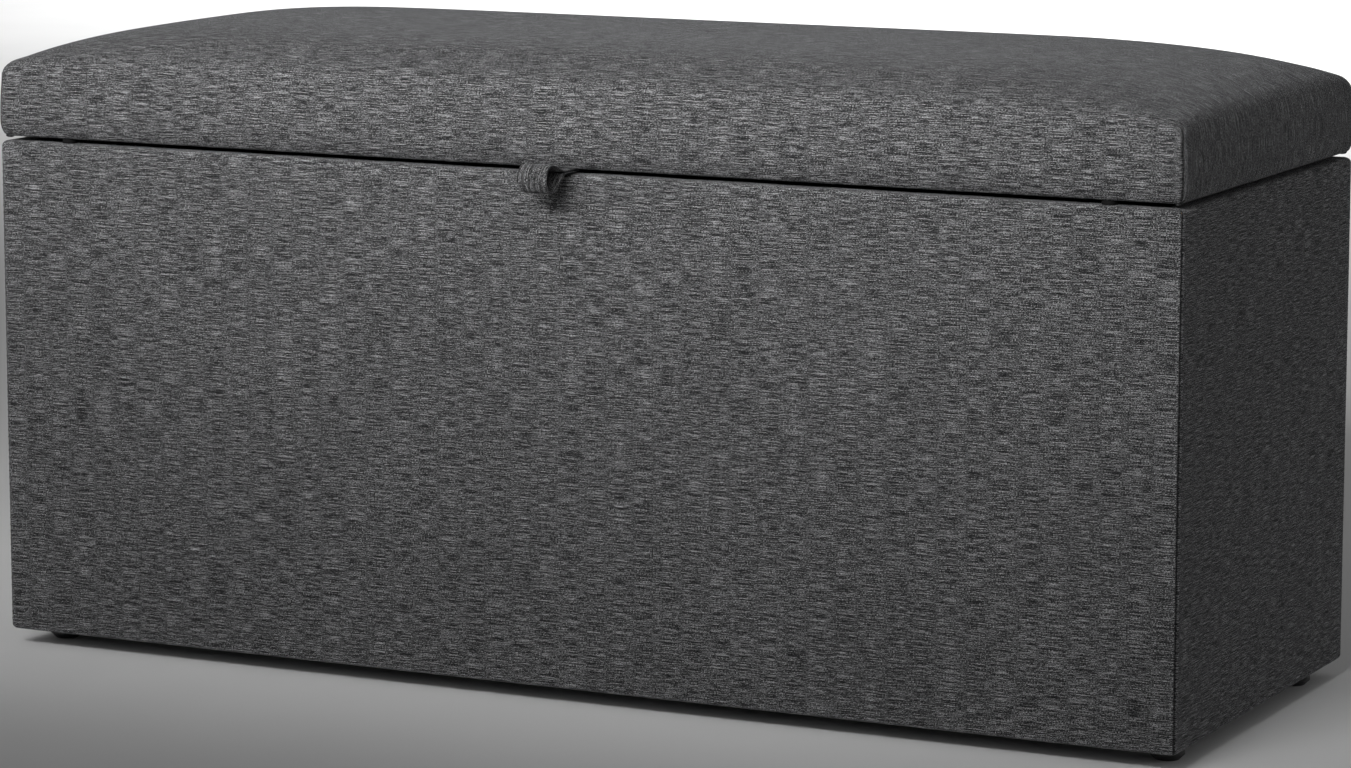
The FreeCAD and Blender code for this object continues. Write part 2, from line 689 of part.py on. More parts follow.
# ---- the lid ------------------------------------------------------------------------------------
def arch(name, plane, half, low, inset, fall, length):
    """A padded lid's section: straight sides, round shoulders and a crown.

    half is the half width, low the underside and inset the depth below the cover's face. The
    crown is one arc when fall is the whole half width, or else a level top between two arcs.
    """
    radius = f"(shoulder_radius - {inset})"
    level = "(lid_low + lid_side)"
    rise = f"(crown - {inset} - {level})"
    reach = f"({fall} - {radius})"
    crown_radius = f"({reach}^2 + {rise}^2 - {radius}^2)/(2*({rise} - {radius}))"
    wide, start, bend, foot = number(half), number(level), number(radius), number(low)
    big, run = number(crown_radius), number(fall)
    top = start + number(rise)
    turn = math.atan2(start - (top - big), run - bend)
    body, sketch = sketched(name, plane)

    def vector(across, up):
        return FreeCAD.Vector(across, up, 0)

    def arc(centre, size, first, last):
        circle = Part.Circle(vector(*centre), FreeCAD.Vector(0, 0, 1), size)
        return Part.ArcOfCircle(circle, first, last)

    flat = run < wide - 1e-6
    shapes = [
        Part.LineSegment(vector(-wide, foot), vector(wide, foot)),
        Part.LineSegment(vector(wide, foot), vector(wide, start)),
        arc((wide - bend, start), bend, 0, turn),
        arc((wide - run, top - big), big, turn, math.pi / 2 if flat else math.pi - turn),
    ]
    if flat:
        shapes.append(Part.LineSegment(vector(wide - run, top), vector(run - wide, top)))
        shapes.append(arc((run - wide, top - big), big, math.pi / 2, math.pi - turn))
    shapes.append(arc((bend - wide, start), bend, math.pi - turn, math.pi))
    shapes.append(Part.LineSegment(vector(-wide, start), vector(-wide, foot)))
    for shape in shapes:
        sketch.addGeometry(shape, False)
    last = len(shapes) - 1
    flat_at = 4 if flat else None
    joints = [(1, 2, 2, 1), (2, 2, 3, 1)]
    joints += [(3, 2, 4, 1), (4, 2, 5, 1), (5, 2, 6, 1)] if flat else [(3, 2, 4, 1)]
    joints += [(last - 1, 2, last, 1)]
    for first, out, second, into in joints:
        sketch.addConstraint(Sketcher.Constraint("Tangent", first, out, second, into))
    sketch.addConstraint(Sketcher.Constraint("Coincident", 0, 2, 1, 1))
    sketch.addConstraint(Sketcher.Constraint("Coincident", last, 2, 0, 1))
    pin_point(sketch, 0, 1, f"-({half})", low)
    pin_point(sketch, 0, 2, half, low)
    pin_point(sketch, 1, 2, half, level)
    pin_point(sketch, last, 1, f"-({half})", level)
    for curve, formula in ((2, radius), (last - 1, radius), (3, crown_radius)):
        held = sketch.addConstraint(Sketcher.Constraint("Radius", curve, number(formula)))
        sketch.setExpression(f"Constraints[{held}]", bind(formula))
    if flat:
        sketch.addConstraint(Sketcher.Constraint("Horizontal", flat_at))
        sketch.addConstraint(Sketcher.Constraint("Equal", 3, 5))
    return pad(body, sketch, length)


def pillow(name, low, inset, corner):
    """The lid's padded shape at a depth below the cover's face, from a height up."""
    deep = arch(f"{name}_across", "YZ_Plane", f"case_depth/2 - {inset}", low, inset,
                f"case_depth/2 - {inset}", "case_length")
    move(deep, ["0", "middle", "0"])
    long = arch(f"{name}_along", "XZ_Plane", f"end - {inset}", low, inset,
                f"end_fall - {inset}", "case_depth")
    move(long, ["0", "middle", "0"])
    plan = rounded_board(f"{name}_plan", both(f"end - {inset}"),
                         (f"front + {inset}", f"back - {inset}"), (low, "crown"), corner)
    return common(name, [deep, long, plan])


def lid(hinge_holes, plate_holes):
    """Board, foam, wadding and the cover that holds them, with a lining over its hem."""
    inner_corner = "lid_corner - cover"
    board = rounded_board("lid_blank", both("board_end"), ("board_front", "board_back"),
                          ("lid_board_low", "pad_low"), inner_corner)
    node("lid_board", cut("lid_board", board, hinge_holes + plate_holes))
    foam = node("foam_pad", pillow("foam_pad", "pad_low", "(cover + wadding)", "foam_corner"))
    padding = pillow("padding", "pad_low", "cover", inner_corner)
    node("wadding", cut("wadding", padding, [foam]))
    outside = pillow("lid_outside", "lid_low", "0", "lid_corner")
    inside = pillow("lid_inside", "lid_board_low", "cover", inner_corner)
    mouth = box("lid_mouth", both("board_end - hem_width"),
                ("board_front + hem_width", "board_back - hem_width"), ("lid_low", "lid_board_low"))
    node("lid_cover", cut("lid_cover", outside, [inside, mouth] + hinge_holes))
    skin = box("lid_skin", both("end - lid_lining_inset"),
               ("lid_skin_front", "back - hinge_margin"), ("lid_skin_low", "lid_low"))
    node("lid_lining", cut("lid_lining", skin, plate_holes))


def pull_tab():
    """A loop of folded strip that stands out of the gap, and its tail fixed under the lid."""
    node("pull_tab_tail", box("pull_tab_tail", both("tab_width/2"),
                              ("front", "front + tab_tail"), ("lid_low - tab_thick", "lid_low")))
    outer = teardrop("tab_outer", ("0", "0", "tab_cloth"), "tab_loop + tab_cloth/2", "tab_width")
    inner = teardrop("tab_inner", ("2*tab_root + tab_cloth", "0", "0.3"),
                     "tab_loop - tab_cloth/2", "2*tab_width")
    tab = cut("pull_tab", outer, [inner])
    node("pull_tab", move(tab, ["0", "tab_axis_y", "tab_axis_z"]))


def teardrop(name, small, big_radius, length):
    """A prism along X whose section is a small and a big circle joined by their tangents."""
    out, up, small_radius = small
    far = "tab_root - tab_reach"
    sag = "-tab_sag"
    near_y, near_z, r = -number(out), number(up), number(small_radius)
    far_y, far_z, big = number(far), number(sag), number(big_radius)
    gap = math.hypot(far_y - near_y, far_z - near_z)
    heading = math.atan2(far_z - near_z, far_y - near_y)
    spread = math.acos((r - big) / gap)
    body, sketch = sketched(name, "YZ_Plane")

    def touch(y, z, radius, angle):
        return FreeCAD.Vector(y + radius * math.cos(angle), z + radius * math.sin(angle), 0)

    def arc(y, z, radius, first, last):
        circle = Part.Circle(FreeCAD.Vector(y, z, 0), FreeCAD.Vector(0, 0, 1), radius)
        return Part.ArcOfCircle(circle, first, last)

    over, under = heading - spread, heading + spread
    sketch.addGeometry(arc(near_y, near_z, r, under, over + 2 * math.pi), False)
    sketch.addGeometry(Part.LineSegment(touch(near_y, near_z, r, over),
                                        touch(far_y, far_z, big, over)), False)
    sketch.addGeometry(arc(far_y, far_z, big, over, under), False)
    sketch.addGeometry(Part.LineSegment(touch(far_y, far_z, big, under),
                                        touch(near_y, near_z, r, under)), False)
    for first, out_end, second, in_end in ((0, 2, 1, 1), (1, 2, 2, 1), (2, 2, 3, 1), (3, 2, 0, 1)):
        sketch.addConstraint(Sketcher.Constraint("Tangent", first, out_end, second, in_end))
    pin_point(sketch, 0, 3, f"-({out})", up)
    pin_point(sketch, 2, 3, far, sag)
    for curve, formula in ((0, small_radius), (2, big_radius)):
        held = sketch.addConstraint(Sketcher.Constraint("Radius", curve, number(formula)))
        sketch.setExpression(f"Constraints[{held}]", bind(formula))
    return pad(body, sketch, length)


# ---- put together -------------------------------------------------------------------------------
def build():
    hinge_holes = hinges()
    plate_holes = case_plates()
    peg_holes = panels(panel_fixings(), hinge_holes["case"], plate_holes)
    glide_holes = glides()
    bottom(glide_holes)
    case_covers(peg_holes, hinge_holes["case"], glide_holes)
    linings(plate_holes)
    node("lid_bumpers", group("lid_bumpers", [
        bumper(f"bumper_{side}", f"{sign}*(end - bumper_end_inset)", "0") for side, sign in SIDES]))
    lid(hinge_holes["lid"], lid_plates())
    struts()
    pull_tab()
    doc.recompute()


def write():
    """Check the whole document, then write one file for each node."""
    for piece in doc.Objects:
        if "Invalid" in piece.State or "Error" in piece.State:
            raise RuntimeError(f"{piece.Label} failed: {piece.State}")
    for name, piece in nodes.items():
        if piece.Shape.isNull() or not piece.Shape.isValid() or piece.Shape.Volume <= 0:
            raise RuntimeError(f"{name} has no valid shape")
    os.makedirs("parts", exist_ok=True)
    for name, piece in nodes.items():
        piece.Shape.exportStep(f"parts/{name}.step")
    print(f"{len(nodes)} nodes written")


build()
write()
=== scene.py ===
"""A storage bench: a box covered in charcoal cloth, a padded lid on two gas struts and a fabric pull tab.

The CAD frame gives every position. The cloth and padding are built here, in metres, around it.
"""

import math

import bmesh
import bpy
import numpy as np
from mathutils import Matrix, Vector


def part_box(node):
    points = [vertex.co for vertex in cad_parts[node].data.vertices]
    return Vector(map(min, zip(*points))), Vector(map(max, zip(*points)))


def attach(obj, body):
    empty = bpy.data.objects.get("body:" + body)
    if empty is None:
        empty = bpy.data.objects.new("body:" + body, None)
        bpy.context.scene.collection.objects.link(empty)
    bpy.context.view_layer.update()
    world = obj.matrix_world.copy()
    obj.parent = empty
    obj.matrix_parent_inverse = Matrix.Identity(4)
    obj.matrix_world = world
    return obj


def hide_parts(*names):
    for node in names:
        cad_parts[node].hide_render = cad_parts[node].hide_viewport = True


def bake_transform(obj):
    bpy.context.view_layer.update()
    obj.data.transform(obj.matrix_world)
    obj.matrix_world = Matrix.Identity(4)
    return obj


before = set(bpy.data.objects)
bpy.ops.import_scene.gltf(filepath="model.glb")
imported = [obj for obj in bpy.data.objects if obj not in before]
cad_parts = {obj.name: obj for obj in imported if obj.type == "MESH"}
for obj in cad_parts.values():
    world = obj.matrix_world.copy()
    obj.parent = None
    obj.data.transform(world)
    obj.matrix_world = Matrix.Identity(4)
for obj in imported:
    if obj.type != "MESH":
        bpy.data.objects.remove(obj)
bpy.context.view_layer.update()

MM = 0.001
TINY = 1e-9

# ---- places read from the frame -----------------------------------------------------------------
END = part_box("front_cover")[1].x
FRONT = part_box("front_cover")[0].y
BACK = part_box("back_cover")[1].y
MIDDLE = (FRONT + BACK) / 2
HALF_DEPTH = (BACK - FRONT) / 2
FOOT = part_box("front_cover")[0].z
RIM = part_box("front_cover")[1].z
LID_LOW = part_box("lid_cover")[0].z
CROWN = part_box("lid_cover")[1].z
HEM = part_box("front_cover")[1].y - FRONT
INNER_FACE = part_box("lining_front")[0].y - FRONT + 1 * MM
TURN_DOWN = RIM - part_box("lining_front")[1].z


# ---- materials ----------------------------------------------------------------------------------
class Finish:
    """A node material with one Principled shader, built up call by call."""

    def __init__(self, name, roughness=0.8, metallic=0.0, sheen=0.0, coat=0.0, specular=0.5):
        self.material = bpy.data.materials.new(name)
        self.material.use_nodes = True
        self.tree = self.material.node_tree
        self.shader = self.tree.nodes["Principled BSDF"]
        self.shader.inputs["Roughness"].default_value = roughness
        self.shader.inputs["Metallic"].default_value = metallic
        self.shader.inputs["Sheen Weight"].default_value = sheen
        self.shader.inputs["Sheen Roughness"].default_value = 0.45
        self.shader.inputs["Coat Weight"].default_value = coat
        self.shader.inputs["Specular IOR Level"].default_value = specular

    def node(self, kind, settings=(), **inputs):
        """Add a node, and give each input a number or another node's output."""
        made = self.tree.nodes.new(kind)
        for key, value in dict(settings).items():
            setattr(made, key, value)
        for key, value in inputs.items():
            socket = made.inputs[int(key[1:])] if key[1:].isdigit() else made.inputs[key]
            if isinstance(value, bpy.types.NodeSocket):
                self.tree.links.new(value, socket)
            else:
                socket.default_value = value
        return made

    def sum(self, operation, first, second=0.0, third=0.0):
        """The result of one arithmetic step."""
        step = self.node("ShaderNodeMath", {"operation": operation}, _0=first, _1=second, _2=third)
        return step.outputs[0]

    def place(self, layer=None):
        """Metres on the cloth where a piece has a layer for it, or metres in the frame."""
        if layer:
            return self.node("ShaderNodeUVMap", {"uv_map": layer}).outputs["UV"]
        return self.node("ShaderNodeTexCoord").outputs["Object"]

    def stretched(self, place, scale):
        """The same place with each direction multiplied."""
        return self.node("ShaderNodeMapping", _0=place, _3=scale).outputs[0]

    def noise(self, place, scale, detail=3.0, rough=0.55):
        made = self.node("ShaderNodeTexNoise", Vector=place, Scale=scale, Detail=detail,
                         Roughness=rough)
        return made.outputs[0]

    def cells(self, place, scale):
        made = self.node("ShaderNodeTexVoronoi", Vector=place, Scale=scale)
        return made.outputs["Distance"]

    def ramp(self, value, *stops):
        """A colour for each value: stops are (position, colour)."""
        made = self.node("ShaderNodeValToRGB", Fac=value)
        points = made.color_ramp.elements
        while len(points) < len(stops):
            points.new(0.5)
        for point, (position, colour) in zip(points, stops):
            point.position = position
            point.color = (*colour, 1)
        return made.outputs[0]

    def grade(self, value, low, high, to_low, to_high):
        made = self.node("ShaderNodeMapRange", _0=value, _1=low, _2=high, _3=to_low, _4=to_high)
        return made.outputs[0]

    def scaled(self, colour, factor):
        """A colour made darker or lighter by a number that varies."""
        made = self.node("ShaderNodeVectorMath", {"operation": "SCALE"}, _0=colour, Scale=factor)
        return made.outputs[0]

    def bump(self, height, strength, distance):
        made = self.node("ShaderNodeBump", Height=height, Strength=strength, Distance=distance)
        self.tree.links.new(made.outputs[0], self.shader.inputs["Normal"])

    def finish(self, colour, roughness=None):
        self.tree.links.new(colour, self.shader.inputs["Base Color"])
        if roughness is not None:
            self.tree.links.new(roughness, self.shader.inputs["Roughness"])
        return self.material


def grey(level, blue=1.0):
    """A neutral colour, or one a little bluer."""
    return (level, level, level * blue)


def weave_cloth():
    """Charcoal cloth with long slubs across it, broad light and dark patches, worn edges, and painted shade
    that darkens its seams and hollows.
    """
    yarn_pitch, cross_pitch = 0.72 * MM, 0.60 * MM
    made = Finish("charcoal_weave", sheen=0.09, specular=0.14)
    made.shader.inputs["Sheen Tint"].default_value = (0.80, 0.81, 0.84, 1)
    place = made.place("weave")
    slub = made.noise(made.stretched(place, (125, 3000, 1)), 1.0, 1.0, 0.5)
    long_slub = made.noise(made.stretched(place, (48, 2200, 1)), 1.0, 0.0, 0.4)
    fleck = made.noise(made.stretched(place, (820, 3000, 1)), 1.0, 1.0, 0.6)
    patch = made.noise(place, 9.0, 2.0)
    split = made.node("ShaderNodeSeparateXYZ", Vector=place)
    yarn = made.sum("SINE", made.sum("MULTIPLY", split.outputs[1], 2 * math.pi / yarn_pitch))
    cross = made.sum("SINE", made.sum("MULTIPLY", split.outputs[0], 2 * math.pi / cross_pitch))
    streak = made.sum("ADD", made.sum("MULTIPLY", slub, 0.30), made.sum("MULTIPLY", long_slub, 0.22))
    value = made.sum("MULTIPLY_ADD", fleck, 0.48, streak)
    colour = made.ramp(value, (0.41, grey(0.004, 1.06)), (0.475, grey(0.015, 1.05)),
                       (0.53, grey(0.054, 1.04)), (0.60, grey(0.42, 1.02)))
    # marks: red is painted shade in seam grooves and hollows, green is wear at the edges
    marks = made.node("ShaderNodeAttribute", {"attribute_name": "marks"})
    parts = made.node("ShaderNodeSeparateColor", Color=marks.outputs["Color"])
    # painted shade: colour darkened down to 0.18 times where the red mark is full
    seam = made.grade(parts.outputs[0], 0, 1, 1.0, 0.18)
    worn = made.grade(made.sum("MULTIPLY", parts.outputs[1], fleck), 0.30, 0.70, 1.0, 1.45)
    broad = made.grade(patch, 0.3, 0.7, 0.94, 1.06)
    yarns = made.grade(made.sum("MULTIPLY", yarn, cross), -1, 1, 0.90, 1.10)
    factor = made.sum("MULTIPLY", made.sum("MULTIPLY", seam, worn), made.sum("MULTIPLY", broad, yarns))
    relief = made.sum("MULTIPLY_ADD", yarn, 0.22, made.sum("MULTIPLY", cross, 0.14))
    made.bump(made.sum("MULTIPLY_ADD", slub, 1.6, relief), 0.35, 0.35 * MM)
    return made.finish(made.scaled(colour, factor), made.grade(fleck, 0.3, 0.7, 0.92, 0.76))


def felt(name, level, fibre, dimple):
    """A black pressed cloth of crossed fibres, with a pattern of welded dimples darkened by painted shade.
    """
    made = Finish(name, sheen=0.15, specular=0.3)
    place = made.place("weave")
    one = made.noise(made.stretched(place, (fibre, fibre * 0.2, 1)), 1.0, 3.0, 0.6)
    other = made.noise(made.stretched(place, (fibre * 0.2, fibre, 1)), 1.0, 3.0, 0.6)
    fibres = made.sum("MAXIMUM", one, other)
    dots = made.cells(place, dimple)
    colour = made.ramp(fibres, (0.40, grey(level * 0.4)), (0.58, grey(level)), (0.80, grey(level * 3)))
    # painted shade: darker in the welded dimples
    shade = made.grade(dots, 0.15, 0.45, 0.72, 1.05)
    made.bump(made.sum("ADD", fibres, dots), 0.4, 0.4 * MM)
    return made.finish(made.scaled(colour, shade), made.grade(fibres, 0.4, 0.8, 0.95, 0.78))


def soft_fill(name, dark, pale, size):
    """Foam or wadding: open cells or fibres with a tint that wanders."""
    made = Finish(name, sheen=0.1, specular=0.2)
    place = made.place()
    cells = made.cells(place, size)
    drift = made.noise(place, 12.0)
    value = made.sum("MULTIPLY_ADD", cells, 0.6, made.sum("MULTIPLY", drift, 0.5))
    made.bump(cells, 0.5, 0.6 * MM)
    return made.finish(made.ramp(value, (0.25, dark), (0.75, pale)),
                       made.grade(drift, 0.3, 0.7, 0.95, 0.85))


def chip_board():
    """Pressed wood chips: flat flakes of several browns, with dust between them."""
    made = Finish("board", specular=0.3)
    place = made.stretched(made.place(), (1.0, 1.0, 2.6))
    flake = made.node("ShaderNodeTexVoronoi", Vector=place, Scale=320.0)
    tone = made.node("ShaderNodeSeparateColor", Color=flake.outputs["Color"])
    grain = made.noise(place, 900.0, 4.0)
    value = made.sum("MULTIPLY_ADD", tone.outputs[0], 0.55, made.sum("MULTIPLY", grain, 0.45))
    colour = made.ramp(value, (0.20, (0.20, 0.12, 0.06)), (0.50, (0.46, 0.33, 0.20)),
                       (0.85, (0.66, 0.52, 0.36)))
    made.bump(value, 0.3, 0.3 * MM)
    return made.finish(colour, made.grade(grain, 0.3, 0.7, 0.75, 0.95))


def brushed_metal(name, level, tint, rough, lines):
    """Plated or ground steel: fine lines, cloudy patches and a few rubbed spots."""
    made = Finish(name, metallic=1.0)
    place = made.place()
    line = made.noise(made.stretched(place, (lines * 0.04, lines, lines)), 1.0, 3.0)
    cloud = made.noise(place, 90.0, 4.0)
    value = made.sum("MULTIPLY_ADD", line, 0.5, made.sum("MULTIPLY", cloud, 0.5))
    dark = tuple(level * 0.72 * t for t in tint)
    pale = tuple(min(level * 1.12 * t, 1) for t in tint)
    made.bump(line, 0.12, 0.05 * MM)
    return made.finish(made.ramp(value, (0.32, dark), (0.62, pale)),
                       made.grade(cloud, 0.3, 0.7, rough * 0.75, rough * 1.4))


def moulded(name, level, rough, grain_size, specular=0.5, coat=0.0):
    """Black plastic, paint or rubber: a fine grain, dust in the hollows and rubbed high spots."""
    made = Finish(name, specular=specular, coat=coat)
    place = made.place()
    grain = made.noise(place, grain_size, 4.0)
    rub = made.noise(place, 70.0, 5.0, 0.65)
    colour = made.ramp(made.sum("MULTIPLY_ADD", rub, 0.7, made.sum("MULTIPLY", grain, 0.3)),
                       (0.35, grey(level * 0.7)), (0.60, grey(level)), (0.75, grey(level * 1.9)))
    made.bump(grain, 0.2, 0.08 * MM)
    return made.finish(colour, made.grade(rub, 0.3, 0.7, rough * 0.8, min(rough * 1.25, 1)))


MATERIALS = {
    "charcoal_weave": weave_cloth(),
    "black_lining": felt("black_lining", 0.022, 900, 420),
    "dust_cloth": felt("dust_cloth", 0.012, 1300, 800),
    "foam": soft_fill("foam", (0.60, 0.55, 0.38), (0.82, 0.79, 0.64), 700.0),
    "wadding": soft_fill("wadding", (0.66, 0.66, 0.65), (0.90, 0.90, 0.89), 260.0),
    "board": chip_board(),
    "glide_plastic": moulded("glide_plastic", 0.012, 0.42, 1400.0),
    "hinge_steel": brushed_metal("hinge_steel", 0.40, (1.0, 1.0, 0.98), 0.46, 2600.0),
    "screw_steel": brushed_metal("screw_steel", 0.50, (1.0, 0.99, 0.95), 0.38, 1800.0),
    "strut_black": moulded("strut_black", 0.012, 0.34, 2200.0, coat=0.25),
    "strut_chrome": brushed_metal("strut_chrome", 0.80, (1.0, 1.0, 1.0), 0.10, 4000.0),
    "strut_plastic": moulded("strut_plastic", 0.020, 0.50, 1800.0),
    "bracket_steel": moulded("bracket_steel", 0.020, 0.38, 1600.0, coat=0.15),
    "bumper_rubber": moulded("bumper_rubber", 0.006, 0.85, 1100.0, specular=0.15),
}


# ---- meshes -------------------------------------------------------------------------------------
def mesh_piece(name, points, faces, slot, layout, marks=None):
    """A smooth mesh object with a cloth layout in metres, and marks for painted shade in its seams and
    hollows and for its worn edges.
    """
    mesh = bpy.data.meshes.new(name)
    mesh.from_pydata([tuple(p) for p in points], [], faces)
    mesh.shade_smooth()
    layer = mesh.uv_layers.new(name="weave")
    layer.data.foreach_set("uv", np.asarray(layout, float).ravel())
    if marks is not None:
        spots = mesh.color_attributes.new("marks", "FLOAT_COLOR", "POINT")
        colours = np.ones((len(points), 4))
        colours[:, :3] = 0
        # red: painted shade in seams and hollows; green: wear
        colours[:, :2] = marks
        spots.data.foreach_set("color", colours.ravel())
    piece = bpy.data.objects.new(name, mesh)
    bpy.context.scene.collection.objects.link(piece)
    mesh.materials.append(MATERIALS[slot])
    return piece


def grid_faces(rows, columns):
    """Quads over a grid of points that are numbered row by row."""
    corner = np.arange(rows - 1)[:, None] * columns + np.arange(columns - 1)[None, :]
    quads = np.stack([corner, corner + columns, corner + columns + 1, corner + 1], -1)
    return quads.reshape(-1, 4)


def grid_piece(name, points, layout, slot, marks):
    """A piece over a grid of points, whose cloth layout and marks are given at each of them."""
    rows, columns = points.shape[:2]
    quads = grid_faces(rows, columns)
    return mesh_piece(name, points.reshape(-1, 3), quads.tolist(), slot,
                      layout.reshape(-1, 2)[quads.ravel()], marks.reshape(-1, 2))


def apply_modifiers(piece):
    """Turn the piece into the mesh that its modifiers show."""
    bpy.context.view_layer.update()
    shown = piece.evaluated_get(bpy.context.evaluated_depsgraph_get())
    mesh = bpy.data.meshes.new_from_object(shown, preserve_all_data_layers=True,
                                           depsgraph=bpy.context.evaluated_depsgraph_get())
    piece.modifiers.clear()
    piece.data = mesh


def thicken(piece, thickness):
    """Give a skin its thickness, on the side away from its normals."""
    shell = piece.modifiers.new("thickness", "SOLIDIFY")
    shell.thickness = thickness
    shell.offset = -1
    apply_modifiers(piece)


def smooth_once(piece):
    """Split each face in four, and round the mesh a little."""
    piece.modifiers.new("smooth", "SUBSURF").levels = 1
    apply_modifiers(piece)


def spread(*places):
    """Numbers that run through the places given as (end, step), from the first one's end."""
    start, runs = places[0], places[1:]
    values = [start]
    for end, step in runs:
        count = max(1, round(abs(end - values[-1]) / step))
        values += list(np.linspace(values[-1], end, count + 1)[1:])
    return np.array(values)


def rounded_path(corners, radii, step):
    """Points along a line of corners, each rounded by its radius, and the distance along it."""
    turns = 5
    corners = [np.array(c, float) for c in corners]
    points = [corners[0]]
    for before, corner, after, radius in zip(corners, corners[1:], corners[2:], radii):
        to_before = (before - corner) / np.linalg.norm(before - corner)
        to_after = (after - corner) / np.linalg.norm(after - corner)
        half = math.acos(np.clip(to_before @ to_after, -1, 1)) / 2
        reach = radius / math.tan(half)
        middle_way = (to_before + to_after) / np.linalg.norm(to_before + to_after)
        centre = corner + middle_way * radius / math.sin(half)
        run = corner + to_before * reach
        count = max(1, round(np.linalg.norm(run - points[-1]) / step))
        points += [points[-1] + (run - points[-1]) * k / count for k in range(1, count)]
        start = run - centre
        end = corner + to_after * reach - centre
        angle = math.pi - 2 * half
        for k in range(turns + 1):
            part = k / turns
            points.append(centre + (start * math.sin((1 - part) * angle) + end * math.sin(part * angle))
                          / math.sin(angle))
    count = max(1, round(np.linalg.norm(corners[-1] - points[-1]) / step))
    last = points[-1]
    points += [last + (corners[-1] - last) * k / count for k in range(1, count + 1)]
    points = np.array(points)
    along = np.concatenate([[0], np.cumsum(np.linalg.norm(np.diff(points, axis=0), axis=1))])
    return points, along


def ripple(place, *waves):
    """A gentle unevenness: a sum of sines, each of (height, length, shift)."""
    return sum(height * np.sin(2 * math.pi * place / length + shift)
               for height, length, shift in waves)


# ---- the case's cloth ---------------------------------------------------------------------------
# each face's middle on the floor plan, the way along it, the way into the box, and half its length
FACES = {
    "front_cover": ((0, FRONT), (1, 0), (0, 1), END),
    "back_cover": ((0, BACK), (-1, 0), (0, -1), END),
    "right_end_cover": ((END, MIDDLE), (0, 1), (-1, 0), HALF_DEPTH),
    "left_end_cover": ((-END, MIDDLE), (0, -1), (1, 0), HALF_DEPTH),
}
CLOTH = 1.2 * MM
TURN_WIDTH = 7 * MM
# how cloth turns into a seam: mm from the end, mm sunk and darkness (painted shade in the seam's groove),
# at an upright corner and at a mitre
CORNER_TURN = ((2.45, 2.45, 1.0), (2.0, 1.5, 1.0), (2.15, 0.85, 0.5), (2.9, 0.38, 0.1),
               (4.2, 0.08, 0.0), (7, 0, 0))
FLAT_TURN = ((0.1, 1.2, 1.0), (0.3, 0.6, 0.9), (0.8, 0.2, 0.4), (1.6, 0.05, 0.1),
             (3.0, 0.0, 0.0), (7, 0, 0))


def case_cover(name, cut):
    """Cloth over one face of the case, from inside the rim, down the face and under the foot.

    The cut is how far along the cloth this piece was cut from it.
    """
    origin, along, inward, half = FACES[name]
    corners = [(INNER_FACE, RIM - TURN_DOWN), (INNER_FACE, RIM), (0, RIM), (0, FOOT), (HEM, FOOT)]
    line, distance = rounded_path(corners, (3 * MM, 4.5 * MM, 3.5 * MM), 11 * MM)
    slope = np.gradient(line, axis=0)
    slope /= np.linalg.norm(slope, axis=1)[:, None]
    sink_in, sink_up = -slope[:, 1:], slope[:, :1]
    upright = np.clip(sink_in, 0, 1) * (line[:, :1] < INNER_FACE / 2)
    turn = np.array(CORNER_TURN) * (MM, MM, 1)
    flat = np.array(FLAT_TURN) * (MM, MM, 1)
    inner = spread(-half + TURN_WIDTH, (half - TURN_WIDTH, 9 * MM))[1:-1]
    ends = upright[..., None] * turn[None] + (1 - upright[..., None]) * flat[None]
    reach = half - line[:, :1]
    left = -(reach - ends[:, :, 0])
    right = (reach - ends[:, :, 0])[:, ::-1]
    middle = inner[None, :] * (reach - TURN_WIDTH) / (half - TURN_WIDTH)
    across = np.concatenate([left, middle, right], 1)
    sunk = np.concatenate([ends[:, :, 1], np.zeros_like(middle), ends[:, ::-1, 1]], 1)
    # darkness along each seam's groove: painted shade
    dark = np.concatenate([ends[:, :, 2], np.zeros_like(middle), ends[:, ::-1, 2]], 1)
    near_rim = np.exp(-((line[:, 1:2] - RIM) / (14 * MM)) ** 2)
    uneven = ripple(across + cut, (0.16 * MM, 0.173, 1.1), (0.10 * MM, 0.061, 0.4)) * (0.3 + near_rim)
    sunk = sunk + np.abs(uneven) * (dark < 0.05)
    depth = line[:, :1] + sunk * sink_in
    height = line[:, 1:2] + sunk * sink_up
    points = np.stack([
        origin[0] + along[0] * across + inward[0] * depth,
        origin[1] + along[1] * across + inward[1] * depth,
        height * np.ones_like(across),
    ], -1)
    layout = np.stack([across + cut, distance[:, None] * np.ones_like(across)], -1)
    worn = np.exp(-((line[:, 1:2] - RIM) / (3 * MM)) ** 2)
    worn = worn + np.exp(-((line[:, 1:2] - FOOT) / (4 * MM)) ** 2)
    worn = worn + np.exp(-((half - np.abs(across) - 3 * MM) / (2.5 * MM)) ** 2)
    marks = np.stack([dark, np.clip(worn * np.ones_like(across), 0, 1)], -1)
    piece = grid_piece(name + "_cloth", points, layout, "charcoal_weave", marks)
    thicken(piece, CLOTH)
    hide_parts(name)
    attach(piece, "case")


for number, cover in enumerate(FACES):
    case_cover(cover, 0.37 * number)


